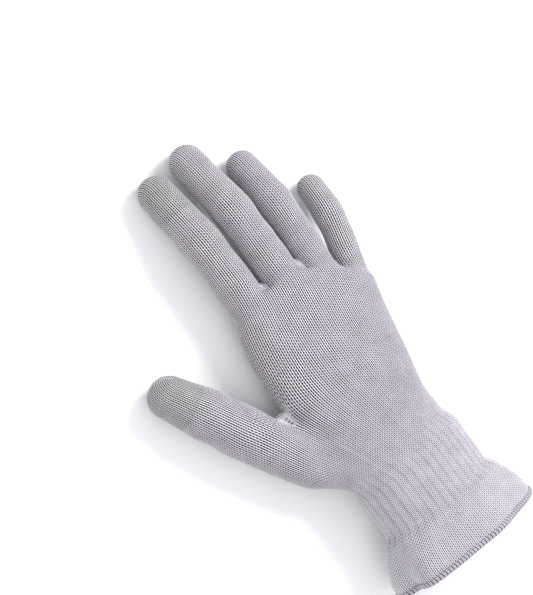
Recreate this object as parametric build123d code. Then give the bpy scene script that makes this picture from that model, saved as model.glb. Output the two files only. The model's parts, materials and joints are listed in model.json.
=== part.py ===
from build123d import *
import os
from math import cos, radians, sin, tan

# A knitted right-hand glove with a ruffled cuff, lying palm down, fingers along +Y and
# thumb towards -X. Each zone of the knitted shell is a hollow solid of its own. The
# finger tubes turn on hinges at the knuckles and at the middle joints, and a sleeve of
# stretch fabric fills the wedge that each hinge needs.

# ---------------------------------------------------------------- driving dimensions, mm
WALL = 1.4              # thickness of the knitted shell
FLOOR = 0.0             # the surface that the glove lies on
FLOOR_WALL = 1.0        # fabric left under the flattened palm

WRIST_Y = 16.0          # where the wrist rib ends and the hand begins
WRIST_HALF_WIDTH = 30.2
WRIST_HALF_HEIGHT = 19.5
WRIST_X = -3.6
WRIST_Z = 22.0
RIB_LENGTH = 20.0

CUFF_LENGTH = 24.5      # ruffle, from the rib to the hem
CUFF_HALF_WIDTH = 40.0
CUFF_HALF_HEIGHT = 24.5
CUFF_X = -6.2           # the ruffle leans towards the thumb side
CUFF_Z = 25.6
CUFF_STEPS = 4          # sections between the rib and the hem
HEM_LENGTH = 3.0        # overlocked edge
HEM_STEP = 0.5          # the hem stands proud of the ruffle, inside and outside

ELASTIC_COUNT = 6       # rubber threads knitted into the rib
ELASTIC_THICK = 0.6
ELASTIC_WIDE = 0.9
ELASTIC_GAP = 0.05      # clearance of a thread in its channel

# Palm tube: (y, centre x, centre z, half width, half height)
PALM_SECTIONS = [
    (WRIST_Y, WRIST_X, WRIST_Z, WRIST_HALF_WIDTH, WRIST_HALF_HEIGHT),
    (27.0, -6.0, 19.2, 30.8, 18.0),
    (40.0, -5.4, 16.6, 31.4, 16.8),
    (52.0, -3.2, 15.4, 32.8, 15.8),
    (65.0, -1.4, 14.6, 34.2, 15.2),
    (83.0, 0.4, 14.2, 36.2, 14.8),
    (97.0, 2.4, 15.4, 36.8, 13.8),
    (107.0, -0.2, 17.2, 30.2, 11.6),
    (120.5, -0.8, 18.6, 28.2, 9.9),
]

HINGE_GAP = 0.8         # half of the gap between two tubes beside their hinge
SLEEVE_GAP = 0.3        # clearance between a tube and the sleeve next to it
HINGE_SPARE = 2.0       # degrees of wedge left beyond the limits
OVERRUN = 14.0          # how far a tube is made past its hinge before it is cut
STUB_BACK = 26.0        # how far a finger root reaches back into the palm
WRIST_RUN = 12.0        # how far the palm is made past the wrist before it is cut

# One digit: knuckle (x, y, z); turn towards +X; roll of the hinge about the digit;
# root, lower and upper drop below the horizontal; lower and upper length; radii at the
# knuckle, at the middle joint and at the tip; bend ranges from the rest pose; length of
# the conductive cap. Angles in degrees, None where the digit has no cap.
DIGITS = {
    "index": dict(
        knuckle=(-19.9, 130.0, 18.4), turn=-0.5, roll=0.0, drop=(0.0, 1.5, 17.5),
        length=(25.0, 29.0), radius=(9.4, 9.2, 8.6), knuckle_range=(-10.0, 65.0),
        joint_range=(-16.0, 55.0), cap=22.7),
    "middle": dict(
        knuckle=(1.0, 128.5, 19.4), turn=0.0, roll=0.0, drop=(0.0, 0.5, 19.5),
        length=(28.5, 30.0), radius=(9.2, 8.9, 8.3), knuckle_range=(-10.0, 65.0),
        joint_range=(-18.0, 55.0), cap=None),
    "ring": dict(
        knuckle=(19.7, 124.0, 18.4), turn=3.0, roll=0.0, drop=(0.0, 1.5, 24.5),
        length=(24.0, 21.8), radius=(8.0, 7.9, 7.5), knuckle_range=(-10.0, 65.0),
        joint_range=(-22.0, 50.0), cap=None),
    "little": dict(
        knuckle=(36.4, 112.5, 16.0), turn=15.0, roll=0.0, drop=(0.0, 2.0, 30.0),
        length=(15.5, 15.0), radius=(6.8, 6.6, 6.4), knuckle_range=(-10.0, 60.0),
        joint_range=(-25.0, 45.0), cap=None),
    "thumb": dict(
        knuckle=(-58.2, 75.8, 13.8), turn=-27.5, roll=-40.0, drop=(1.5, 2.0, 7.0),
        length=(19.0, 17.0), radius=(12.4, 11.4, 9.9), knuckle_range=(-10.0, 40.0),
        joint_range=(-8.0, 50.0), cap=22.0),
}

# Root of the thumb: (distance behind the thumb's hinge, radius)
THUMB_ROOT = [(66.0, 7.5), (30.0, 11.0), (0.0, 12.4)]

SEAM_RADIUS = 0.55      # bead that closes a fingertip
SEAM_GAP = 0.05
SEAM_START = 1.0        # the bead starts this far in front of the dome's centre
STITCH_RADIUS = 1.2     # upright bar of reinforcing stitches in a crotch
STITCH_HEIGHT = 5.0
STITCH_GAP = 0.05
STITCH_Z = {"index_middle": 18.8, "middle_ring": 18.6, "ring_little": 17.2}
FAR = 300.0             # larger than the glove


# ------------------------------------------------------------------------ basic solids
def frustum(start, end, start_radius, end_radius):
    """A round run along +Y between two distances from the origin."""
    if abs(start_radius - end_radius) < 1e-6:
        run = Cylinder(start_radius, end - start, align=(Align.CENTER, Align.CENTER, Align.MIN))
    else:
        run = Cone(start_radius, end_radius, end - start,
                   align=(Align.CENTER, Align.CENTER, Align.MIN))
    return Pos(0, start, 0) * Rot(-90, 0, 0) * run


def oval(y, x, z, half_width, half_height):
    """An elliptical face that stands across the glove at y."""
    plane = Plane(origin=(x, y, z), x_dir=(1, 0, 0), z_dir=(0, -1, 0))
    return plane * Ellipse(half_width, half_height)


def block(low, high):
    """A box between two corners."""
    size = [b - a for a, b in zip(low, high)]
    return Pos(*low) * Box(*size, align=(Align.MIN, Align.MIN, Align.MIN))


def wedge(points, half_width):
    """A prism along X whose outline is given as (y, z) points."""
    return extrude(Plane.YZ * Polygon(*points, align=None), amount=half_width, both=True)


def tapered_wall(start, end, radius_at, thick):
    """Outer and inner run of a tapered tube."""
    outer = frustum(start, end, radius_at(start), radius_at(end))
    inner = frustum(start - 1, end + 1, radius_at(start - 1) - thick, radius_at(end + 1) - thick)
    return outer, inner


# --------------------------------------------------------------------- digit geometry
class Digit:
    """Frames, cutting wedges and radii of one finger or of the thumb."""

    def __init__(self, name, spec):
        self.name = name
        self.spec = spec
        self.lower_length, self.upper_length = spec["length"]
        self.knuckle_radius, self.joint_radius, self.tip_radius = spec["radius"]
        self.root_frame = self.frame_at(spec["knuckle"], spec["drop"][0])
        self.lower_frame = self.frame_at(spec["knuckle"], spec["drop"][1])
        self.joint_point = self.lower_frame * Pos(0, self.lower_length, 0)
        self.upper_frame = self.frame_at(tuple(self.joint_point.position), spec["drop"][2])

    def frame_at(self, point, drop):
        return Pos(*point) * Rot(0, 0, -self.spec["turn"]) * Rot(-drop, 0, 0) * Rot(0, self.spec["roll"], 0)

    def axis(self):
        """Hinge axis about which a positive turn bends the digit towards the palm."""
        return (self.lower_frame * Pos(-1, 0, 0)).position - self.lower_frame.position

    def bend(self, which):
        """Bend at rest between the two tubes that meet at a hinge, in the hinge's plane."""
        root, lower, upper = self.spec["drop"]
        at_rest = lower - root if which == "knuckle" else upper - lower
        return at_rest * cos(radians(self.spec["roll"]))

    def wedge_angles(self, which):
        """Half wedge on the bending side and on the other side of a hinge."""
        low, high = self.spec[which + "_range"]
        closing = (self.bend(which) + high + HINGE_SPARE) / 2
        opening = (-self.bend(which) - low + HINGE_SPARE) / 2
        return closing, max(opening, HINGE_SPARE / 2)

    def beyond(self, which, gap, half_width):
        """What is cut from the tube before a hinge, in that tube's frame at the hinge."""
        closing, opening = (tan(radians(a)) for a in self.wedge_angles(which))
        reach = 3 * self.knuckle_radius
        return wedge([(-gap, 0), (-gap - reach * closing, -reach), (FAR, -reach), (FAR, reach),
                      (-gap - reach * opening, reach)], half_width)

    def before(self, which, gap, half_width):
        """What is cut from the tube after a hinge, in that tube's frame at the hinge."""
        closing, opening = (tan(radians(a)) for a in self.wedge_angles(which))
        reach = 3 * self.knuckle_radius
        return wedge([(gap, 0), (gap + reach * closing, -reach), (-FAR, -reach), (-FAR, reach),
                      (gap + reach * opening, reach)], half_width)

    def lower_radius(self, along):
        share = along / self.lower_length
        return self.knuckle_radius + share * (self.joint_radius - self.knuckle_radius)

    def upper_radius(self, along):
        share = along / self.upper_length
        return self.joint_radius + share * (self.tip_radius - self.joint_radius)

    def half_width(self):
        return self.knuckle_radius + HINGE_GAP / 2


def lower_tube(digit):
    """The tube between the knuckle hinge and the middle hinge."""
    outer, inner = tapered_wall(-1, digit.lower_length + 1, digit.lower_radius, WALL)
    tube = outer - inner
    tube -= digit.before("knuckle", HINGE_GAP, digit.half_width() * 2)
    tube -= Pos(0, digit.lower_length, 0) * digit.beyond("joint", HINGE_GAP, digit.half_width() * 2)
    return digit.lower_frame * tube


def finger_end(digit):
    """The tube beyond the middle hinge with its dome, the groove of its seam cut in."""
    length = digit.upper_length
    outer, inner = tapered_wall(-1, length, digit.upper_radius, WALL)
    outer += Pos(0, length, 0) * Sphere(digit.tip_radius)
    inner = frustum(-2, length, digit.upper_radius(-2) - WALL, digit.tip_radius - WALL)
    inner += Pos(0, length, 0) * Sphere(digit.tip_radius - WALL)
    end = outer - inner - digit.before("joint", HINGE_GAP, digit.half_width() * 2)
    return end - seam_bead(digit, SEAM_RADIUS + SEAM_GAP, SEAM_START - SEAM_GAP)


def seam_bead(digit, radius, start):
    """Half ring over the tip, in the plane of the digit's sides."""
    ring = Pos(0, digit.upper_length, 0) * Torus(digit.tip_radius, radius)
    front = digit.upper_length + start
    return ring & block((-FAR, front, -FAR), (FAR, front + FAR, FAR))


def sleeve(digit, which):
    """Stretch fabric between the two tubes that meet at a hinge."""
    wide = digit.half_width() * 2
    root, lower, upper = digit.spec["drop"]
    if which == "knuckle":
        bend = lower - root
        frames = (digit.root_frame, digit.lower_frame)
        radius = digit.knuckle_radius
    else:
        bend = upper - lower
        frames = (digit.joint_point, digit.upper_frame)
        radius = digit.joint_radius
    # The two halves are mitred half the bend each, in the upright plane of the bend.
    unroll = Rot(0, -digit.spec["roll"], 0)
    behind = block((-FAR, -FAR, -FAR), (FAR, 0, FAR))
    ahead = block((-FAR, 0, -FAR), (FAR, FAR, FAR))
    wall = frustum(-OVERRUN, OVERRUN, radius, radius)
    wall -= frustum(-OVERRUN - 1, OVERRUN + 1, radius - WALL, radius - WALL)
    first = wall & (unroll * Rot(-bend / 2, 0, 0) * behind)
    first &= digit.beyond(which, HINGE_GAP - SLEEVE_GAP, wide)
    second = wall & (unroll * Rot(bend / 2, 0, 0) * ahead)
    second &= digit.before(which, HINGE_GAP - SLEEVE_GAP, wide)
    return frames[0] * first + frames[1] * second


# -------------------------------------------------------------------------- the hand
def palm_loft(inset, end):
    """The palm tube with its sections inset, run on behind the wrist."""
    sections = [list(row) for row in PALM_SECTIONS]
    sections[-1][0] = end
    body = loft([oval(y, x, z, a - inset, c - inset) for y, x, z, a, c in sections], ruled=True)
    y, x, z, half_width, half_height = sections[0]
    return body + extrude(oval(y, x, z, half_width - inset, half_height - inset), amount=WRIST_RUN)


def thumb_root(digit, inset):
    """The bulge from the wrist to the thumb's hinge and on past it."""
    (far, far_radius), (mid, mid_radius), (near, near_radius) = THUMB_ROOT
    root = frustum(-far, -mid, far_radius - inset, mid_radius - inset)
    root += frustum(-mid, near, mid_radius - inset, near_radius - inset)
    root += frustum(near, near + OVERRUN, near_radius - inset, near_radius - inset)
    return digit.root_frame * root


def hand_body(digits, inset):
    """Palm, finger roots and thumb root as one closed solid, its surface inset."""
    body = palm_loft(inset, PALM_SECTIONS[-1][0] - inset)
    for digit in digits.values():
        if digit.name == "thumb":
            body += thumb_root(digit, inset)
        else:
            run = frustum(-STUB_BACK, OVERRUN, digit.knuckle_radius - inset, digit.knuckle_radius - inset)
            body += digit.root_frame * run
    return body


def crotch_points(digits):
    """Where the reinforcing stitches sit."""
    order = ["index", "middle", "ring", "little"]
    points = []
    for first, second in zip(order, order[1:]):
        a, b = digits[first], digits[second]
        x = (a.spec["knuckle"][0] + a.knuckle_radius + b.spec["knuckle"][0] - b.knuckle_radius) / 2
        y = PALM_SECTIONS[-1][0] if second != "little" else PALM_SECTIONS[-2][0] + STITCH_RADIUS
        points.append((x, y, STITCH_Z[first + "_" + second]))
    return points


def stitches(digits, gap):
    """Short upright bars of thread, one in each crotch, grown by a clearance."""
    bar = Cylinder(STITCH_RADIUS + gap, STITCH_HEIGHT + 2 * gap)
    return [Pos(*point) * bar for point in crotch_points(digits)]


def hand_tube(digits):
    """The hollow hand, open at the wrist and at each knuckle."""
    outer = hand_body(digits, 0.0) & block((-FAR, WRIST_Y, FLOOR), (FAR, FAR, FAR))
    inner = hand_body(digits, WALL) & block((-FAR, -FAR, FLOOR + FLOOR_WALL), (FAR, FAR, FAR))
    hand = outer - inner
    for digit in digits.values():
        hand -= digit.root_frame * digit.beyond("knuckle", HINGE_GAP, digit.half_width())
    for pocket in stitches(digits, STITCH_GAP):
        hand -= pocket
    return hand


# ------------------------------------------------------------------- wrist and cuff
def wrist_ring(start, length, inset, thick):
    """A short elliptical ring around the wrist."""
    outer = oval(start + length, WRIST_X, WRIST_Z, WRIST_HALF_WIDTH - inset, WRIST_HALF_HEIGHT - inset)
    inner = oval(start + length, WRIST_X, WRIST_Z, WRIST_HALF_WIDTH - inset - thick,
                 WRIST_HALF_HEIGHT - inset - thick)
    return extrude(outer - inner, amount=length)


def elastic_threads(gap):
    """Rubber threads inside the rib's wall, grown by a clearance."""
    pitch = RIB_LENGTH / ELASTIC_COUNT
    inset = (WALL - ELASTIC_THICK) / 2 - gap
    rings = []
    for number in range(ELASTIC_COUNT):
        middle = WRIST_Y - (number + 0.5) * pitch
        start = middle - ELASTIC_WIDE / 2 - gap
        rings.append(wrist_ring(start, ELASTIC_WIDE + 2 * gap, inset, ELASTIC_THICK + 2 * gap))
    return rings


def wrist_rib():
    """The straight ribbed tube with a channel for each rubber thread."""
    rib = wrist_ring(WRIST_Y - RIB_LENGTH, RIB_LENGTH, 0.0, WALL)
    for channel in elastic_threads(ELASTIC_GAP):
        rib -= channel
    return rib


def cuff_section(share, inset):
    """Section of the flared ruffle between the rib (0) and the hem (1)."""
    y = WRIST_Y - RIB_LENGTH - share * CUFF_LENGTH
    flare = share * share * (3 - 2 * share)
    x = WRIST_X + flare * (CUFF_X - WRIST_X)
    z = WRIST_Z + flare * (CUFF_Z - WRIST_Z)
    half_width = WRIST_HALF_WIDTH + flare * (CUFF_HALF_WIDTH - WRIST_HALF_WIDTH)
    half_height = WRIST_HALF_HEIGHT + flare * (CUFF_HALF_HEIGHT - WRIST_HALF_HEIGHT)
    return oval(y, x, z, half_width - inset, half_height - inset)


def ruffle_cuff():
    """The flared tube from the rib to the hem."""
    shares = [step / CUFF_STEPS for step in range(CUFF_STEPS + 1)]
    outer = loft([cuff_section(share, 0.0) for share in shares], ruled=True)
    inner = loft([cuff_section(share, WALL) for share in shares], ruled=True)
    return outer - inner


def cuff_hem():
    """The thicker overlocked edge of the ruffle."""
    outer = cuff_section(1.0, -HEM_STEP)
    inner = cuff_section(1.0, WALL + HEM_STEP)
    return extrude(outer - inner, amount=HEM_LENGTH)


# -------------------------------------------------------------------------- assembly
def build():
    """All nodes by name, before the origin is moved to the bottom centre."""
    digits = {name: Digit(name, spec) for name, spec in DIGITS.items()}
    nodes = {
        "hand_tube": hand_tube(digits),
        "crotch_stitches": Compound(stitches(digits, 0.0)),
        "wrist_rib": wrist_rib(),
        "wrist_elastic": Compound([ring.solid() for ring in elastic_threads(0.0)]),
        "ruffle_cuff": ruffle_cuff(),
        "cuff_hem": cuff_hem(),
    }
    for name, digit in digits.items():
        nodes[name + "_knuckle_sleeve"] = sleeve(digit, "knuckle")
        nodes[name + "_lower_tube"] = lower_tube(digit)
        nodes[name + "_joint_sleeve"] = sleeve(digit, "joint")
        end = finger_end(digit)
        cap = digit.spec["cap"]
        if cap is None:
            nodes[name + "_upper_tube"] = digit.upper_frame * end
        else:
            split = digit.upper_length + digit.tip_radius - cap
            nodes[name + "_upper_tube"] = digit.upper_frame * (end & block((-FAR, -FAR, -FAR), (FAR, split, FAR)))
            nodes[name + "_touch_tip"] = digit.upper_frame * (end & block((-FAR, split, -FAR), (FAR, FAR, FAR)))
        nodes[name + "_tip_seam"] = digit.upper_frame * seam_bead(digit, SEAM_RADIUS, SEAM_START)
    return digits, nodes


digits, nodes = build()
whole = Compound([solid for node in nodes.values() for solid in node.solids()]).bounding_box()
ORIGIN = (-(whole.min.X + whole.max.X) / 2, -(whole.min.Y + whole.max.Y) / 2, -whole.min.Z)

os.makedirs("parts", exist_ok=True)
for node_name, node in nodes.items():
    export_step(Pos(*ORIGIN) * node, "parts/" + node_name + ".step")
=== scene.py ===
"""A knitted glove built round its CAD frame: one mesh cell per stitch, then fine relief."""
import json
import math

import bpy
import numpy as np
from mathutils import Matrix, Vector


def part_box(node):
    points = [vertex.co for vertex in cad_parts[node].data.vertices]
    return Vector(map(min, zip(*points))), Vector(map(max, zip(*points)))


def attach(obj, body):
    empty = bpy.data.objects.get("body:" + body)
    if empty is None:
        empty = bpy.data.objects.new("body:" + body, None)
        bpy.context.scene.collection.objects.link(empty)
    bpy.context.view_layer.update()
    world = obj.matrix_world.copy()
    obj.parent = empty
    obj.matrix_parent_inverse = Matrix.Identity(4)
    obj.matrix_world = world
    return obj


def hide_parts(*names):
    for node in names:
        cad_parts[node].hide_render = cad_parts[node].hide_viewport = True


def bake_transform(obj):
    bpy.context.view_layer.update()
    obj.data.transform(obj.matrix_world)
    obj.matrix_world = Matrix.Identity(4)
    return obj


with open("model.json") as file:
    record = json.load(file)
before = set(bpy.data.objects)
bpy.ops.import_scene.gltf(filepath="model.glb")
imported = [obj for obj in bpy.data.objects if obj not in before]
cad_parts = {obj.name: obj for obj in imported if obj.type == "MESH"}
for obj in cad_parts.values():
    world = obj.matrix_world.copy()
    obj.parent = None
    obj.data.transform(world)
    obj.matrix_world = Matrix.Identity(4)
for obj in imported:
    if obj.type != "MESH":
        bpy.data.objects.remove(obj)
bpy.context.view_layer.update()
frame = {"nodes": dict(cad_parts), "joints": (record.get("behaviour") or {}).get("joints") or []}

# -------------------- sizes, millimetres
FINGERS = ("index", "middle", "ring", "little")
DIGITS = FINGERS + ("thumb",)
TOUCH = ("index", "thumb")                     # digits with a conductive tip
# radius at the knuckle, at the middle joint and at the tip
RADII = {"index": (9.4, 9.2, 8.6), "middle": (9.2, 8.9, 8.3), "ring": (8.0, 7.9, 7.5),
         "little": (6.8, 6.6, 6.4), "thumb": (12.4, 11.4, 9.9)}
# reach of the bend before and after the knuckle, and each side of the middle joint
BEND = {"index": (4.0, 12.0, 8.5), "middle": (4.0, 12.5, 9.0), "ring": (4.0, 10.5, 7.5),
        "little": (4.0, 7.0, 5.5), "thumb": (3.0, 8.5, 8.0)}
TOUCH_LENGTH = {"index": 22.7, "thumb": 22.0}
SWELL = 0.45                                   # how much a digit swells over its middle joint
COURSE = 1.3                                   # height of a stitch
FABRIC = 1.1                                   # outer to inner face
SQUARENESS = 0.25                              # how much squarer than an ellipse the palm is
# palm sections in glove coordinates: y, centre x, centre z, half width, half height
PALM = np.array([
    (-6.0, -3.6, 22.0, 30.2, 19.5), (16.5, -3.6, 22.0, 30.2, 19.5), (27.0, -6.0, 19.2, 30.6, 18.0),
    (40.0, -5.4, 16.8, 31.2, 16.4), (52.0, -3.2, 15.4, 32.6, 15.5), (65.0, -1.4, 14.8, 34.0, 14.9),
    (83.0, 0.4, 14.4, 35.8, 14.4), (97.0, 2.2, 15.4, 36.6, 13.6), (108.0, 1.6, 17.0, 33.5, 11.8),
    (122.0, 0.0, 18.6, 30.0, 9.6)])
PALM_END = (118.6, -0.174, -0.0136)            # y of the web between the fingers, by x
THUMB_ROOT = ((66.0, 7.5), (30.0, 11.0), (0.0, 12.4))    # behind the thumb's hinge, radius
ROOT_SINK = 12.0                               # keeps the thumb's root inside the wrist
THUMB_ROOT_RISE = 0.026                        # slope of the thumb's root
ROOT_REACH = 34.0                              # how far a finger root runs into the palm
ROOT_DIP, ROOT_TAPER = 1.5, 0.6                # how much lower and thinner it starts
FINGER_FILLET, THUMB_FILLET = 4.5, 7.5
RIB_REPEAT = 3                                 # wales in one rib
FLOOR_CLEARANCE = 0.3

# stitches
DORSAL = {"index": 11, "middle": 11, "ring": 10, "little": 9}
SIDE = 3                                       # wales that bridge a crotch
THUMB_WALES = 32
FINE_U, FINE_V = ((6, 3))      # mesh cells across and along a stitch
ROWS_HEEL, ROWS_PALM, ROWS_FORE = 46, 20, 11   # to the thumb's, little finger's and other crotches
ROWS_ROOT = {"index": 5, "middle": 5, "ring": 5, "little": 6, "thumb": 5}     # crotch to knuckle
RELIEF = 0.30                                  # height of a stitch's yarn
LEG_SLANT = 0.55                               # how far a stitch's leg climbs, in stitches
UNEVEN = 0.14                                  # slow unevenness of the fabric
RIB_DEPTH, RIB_FADE = 0.24, 22.0               # sunk wales of the rib, and where they end

# -------------------- the frame's points
rib_low, rib_high = (np.array(corner) * 1000 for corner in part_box("wrist_rib"))
WRIST_X, WRIST_Y = -3.6, 16.0                  # the rib's middle and far end in glove coordinates
BASE = np.array([(rib_low[0] + rib_high[0]) / 2 - WRIST_X, rib_high[1] - WRIST_Y, 0.0])
JOINTS = {joint["name"]: joint for joint in frame["joints"]}


def joint_point(name):
    return np.array(JOINTS[name]["pos_m"], float) * 1000 - BASE


def unit(vector):
    vector = np.asarray(vector, float)
    return vector / np.linalg.norm(vector, axis=-1, keepdims=True)


def smooth_step(x):
    x = np.clip(x, 0, 1)
    return x * x * (3 - 2 * x)


class Spine:
    """Centre line and cross-section frames of a digit, s in mm from the knuckle."""

    def __init__(self, name):
        self.knuckle = joint_point(name + "_knuckle")
        self.joint = joint_point(name + "_joint")
        self.r0, self.r1, self.r2 = RADII[name]
        self.lower = np.linalg.norm(self.joint - self.knuckle)
        tip = name + ("_touch_tip" if name in TOUCH else "_upper_tube")
        low, high = (np.array(corner) * 1000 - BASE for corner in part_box(tip))
        first = unit(self.joint - self.knuckle)
        flat = unit([first[0], first[1], 0])
        self.across = np.array([flat[1], -flat[0], 0.0])
        reach = (high[1] - self.r2 - self.joint[1]) / flat[1]
        self.dome = self.joint + flat * reach
        self.dome[2] = low[2] + self.r2
        self.upper = np.linalg.norm(self.dome - self.joint)
        second = unit(self.dome - self.joint)
        self.angles = [math.asin(first[2]), math.asin(second[2])]
        self.flat = flat
        self.length = self.lower + self.upper
        self.sampled()

    def sampled(self):
        step = 0.25
        self.s = np.arange(-6, self.length + step, step)
        turn = smooth_step((self.s - self.lower + 9) / 18)
        angle = self.angles[0] + turn * (self.angles[1] - self.angles[0])
        self.tangents = np.cos(angle)[:, None] * self.flat + np.sin(angle)[:, None] * np.array([0, 0, 1.0])
        points = np.cumsum(self.tangents * step, axis=0)
        start = np.array([np.interp(0.0, self.s, points[:, i]) for i in range(3)])
        points = points - start + self.knuckle
        end = np.array([np.interp(self.length, self.s, points[:, i]) for i in range(3)])
        share = np.clip(self.s / self.length, 0, 1)[:, None]
        self.points = points + share * (self.dome - end)

    def at(self, s):
        s = np.asarray(s, float)
        point = np.stack([np.interp(s, self.s, self.points[:, i]) for i in range(3)], -1)
        tangent = unit(np.stack([np.interp(s, self.s, self.tangents[:, i]) for i in range(3)], -1))
        across = np.broadcast_to(self.across, tangent.shape)
        return point, tangent, across, np.cross(across, tangent)

    def radius(self, s):
        s = np.asarray(s, float)
        r = np.interp(s, [0, self.lower, self.length], [self.r0, self.r1, self.r2])
        swell = np.exp(-((s - self.lower) / 6.0) ** 2) - 0.5 * np.exp(-((s - 0.5 * self.lower) / 6.0) ** 2)
        fade = smooth_step(s / 8.0) * smooth_step((self.length - s) / 6.0)
        return r + SWELL * swell * fade


SPINES = {name: Spine(name) for name in DIGITS}


# -------------------- the filled hand
def smooth_min(a, b, reach):
    h = np.clip(0.5 + 0.5 * (b - a) / reach, 0, 1)
    return b + (a - b) * h - reach * h * (1 - h)


def run_distance(p, a, b, ra, rb):
    """Distance to a run whose radius changes evenly from a to b."""
    line = b - a
    t = np.clip((p - a) @ line / (line @ line), 0, 1)
    return np.linalg.norm(p - a - t[..., None] * line, axis=-1) - (ra + (rb - ra) * t)


def squareness(y):
    """Power of the section at y: an ellipse at the wrist, squarer in the palm."""
    return 2 + SQUARENESS * smooth_step((y - 18) / 22)


def palm_distance(p):
    """Distance to the palm, measured along the ray from its centre line."""
    y = np.clip(p[..., 1], PALM[0, 0], PALM[-1, 0])
    power = squareness(y)
    x0, z0, a, c = (smooth_rows(y, column) for column in range(1, 5))
    dx, dz = p[..., 0] - x0, p[..., 2] - z0
    q = ((np.abs(dx) / a) ** power + (np.abs(dz) / c) ** power) ** (1 / power)
    side = np.hypot(dx, dz) * (1 - 1 / np.maximum(q, 1e-6))
    end = p[..., 1] - (PALM_END[0] + PALM_END[1] * p[..., 0] + PALM_END[2] * p[..., 0] ** 2)
    return -smooth_min(-side, -end, 3.0)


def hermite(t, start, start_slope, end, end_slope):
    """The cubic between two values with given slopes, t from 0 to 1."""
    return ((2 * t ** 3 - 3 * t ** 2 + 1) * start + (t ** 3 - 2 * t ** 2 + t) * start_slope
            + (3 * t ** 2 - 2 * t ** 3) * end + (t ** 3 - t ** 2) * end_slope)


def slopes(x, y):
    """Slopes of a curve that doesn't overshoot its points."""
    d = np.diff(y) / np.diff(x)
    m = np.concatenate([[0], (d[:-1] + d[1:]) / 2, [0]])
    flat = np.concatenate([[False], d[:-1] * d[1:] <= 0, [False]])
    return np.where(flat, 0, m)


PALM_SLOPES = np.stack([slopes(PALM[:, 0], PALM[:, column]) for column in range(5)], 1)


def smooth_rows(y, column):
    """One measure of the palm's section at y, smooth from section to section."""
    x, values, m = PALM[:, 0], PALM[:, column], PALM_SLOPES[:, column]
    i = np.clip(np.searchsorted(x, y) - 1, 0, len(x) - 2)
    h = x[i + 1] - x[i]
    return hermite((y - x[i]) / h, values[i], h * m[i], values[i + 1], h * m[i + 1])


def hand_distance(p):
    """The hand without the digits' bends: palm, finger roots and thumb root."""
    fingers = None
    for name in FINGERS:
        spine = SPINES[name]
        back = spine.knuckle - spine.flat * ROOT_REACH - np.array([0.0, 0.0, ROOT_DIP])
        d = np.minimum(run_distance(p, back, spine.knuckle, spine.r0 - ROOT_TAPER, spine.r0),
                       run_distance(p, spine.knuckle, spine.joint, spine.r0, spine.r1))
        fingers = d if fingers is None else np.minimum(fingers, d)
    body = smooth_min(palm_distance(p), fingers, FINGER_FILLET)
    spine = SPINES["thumb"]
    back = -unit(spine.joint - spine.knuckle)
    back[2] = THUMB_ROOT_RISE
    points = [spine.knuckle + back * distance for distance, _ in THUMB_ROOT]
    radii = [radius for _, radius in THUMB_ROOT]
    thumb = np.minimum(run_distance(p, points[0], points[1], radii[0], radii[1]),
                       run_distance(p, points[1], points[2], radii[1], radii[2]))
    thumb = np.minimum(thumb, run_distance(p, spine.knuckle, spine.joint, spine.r0, spine.r1))
    thumb = thumb + ROOT_SINK * (1 - smooth_step((p[..., 1] - WRIST_Y) / 20))
    return smooth_min(body, thumb, THUMB_FILLET)


def gradient(p, step=0.05):
    d = hand_distance(p)
    parts = []
    for axis in range(3):
        offset = np.zeros(3)
        offset[axis] = step
        parts.append((hand_distance(p + offset) - d) / step)
    return d, np.stack(parts, -1)


def settle(p, times=1):
    """Moves points onto the hand's surface."""
    for _ in range(times):
        d, g = gradient(p)
        p = p - (d / np.maximum((g * g).sum(-1), 0.05))[..., None] * g
    return p


# -------------------- the stitch lattice
HAND_WALES = 2 * sum(DORSAL.values())          # dorsal and palmar wales of the four fingers
DORSAL_WALES = HAND_WALES // 2
LITTLE_LEFT = DORSAL_WALES - DORSAL["little"]  # the wale line where the little finger begins
WALES = HAND_WALES + THUMB_WALES               # round the wrist
THUMB_MIDDLE = HAND_WALES + THUMB_WALES / 2    # the wale line on the far left of the wrist
THUMB_GAP = 36                                 # degrees of the hand that the thumb's crotch spans
RELAX_TURNS = 320
RELAX_SHARE = 0.8                              # of the way to the neighbours' middle in each turn


def ring_size(name):
    if name == "thumb":
        return THUMB_WALES + SIDE
    return 2 * DORSAL[name] + (SIDE if name == "little" else 2 * SIDE)


def ring_angle(name, k):
    """Angle of a wale line round a digit, from its back towards its right side."""
    turn = 2 * math.pi / ring_size(name)
    if name == "thumb":
        return math.pi / 2 + (k + SIDE / 2) * turn
    if name == "little":
        return -math.pi / 2 + (k - 2 * DORSAL[name] - SIDE / 2) * turn
    return (k - DORSAL[name] / 2) * turn


def ring_points(name, s, k):
    """Points on a digit's surface: s from the knuckle, k the wale line."""
    spine = SPINES[name]
    point, tangent, across, normal = spine.at(s)
    angle = ring_angle(name, k)
    out = np.cos(angle)[..., None] * normal + np.sin(angle)[..., None] * across
    return point + spine.radius(s)[..., None] * out, out, tangent


def oval_ring(y, x, z, half_width, half_height, k):
    """Points on an ellipse, evenly spaced by arc length, at wale lines k."""
    dense = np.linspace(0, 2 * math.pi, 721)
    px = x - half_width * np.cos(dense)
    pz = z + half_height * np.sin(dense)
    length = np.concatenate([[0], np.cumsum(np.hypot(np.diff(px), np.diff(pz)))])
    share = np.mod((k - THUMB_MIDDLE) / WALES, 1.0) * length[-1]
    return np.stack([np.interp(share, length, px), np.full(np.shape(k), float(y)),
                     np.interp(share, length, pz)], -1)


def palm_row(y):
    return [float(smooth_rows(np.array(y), column)) for column in range(1, 5)]


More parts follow.
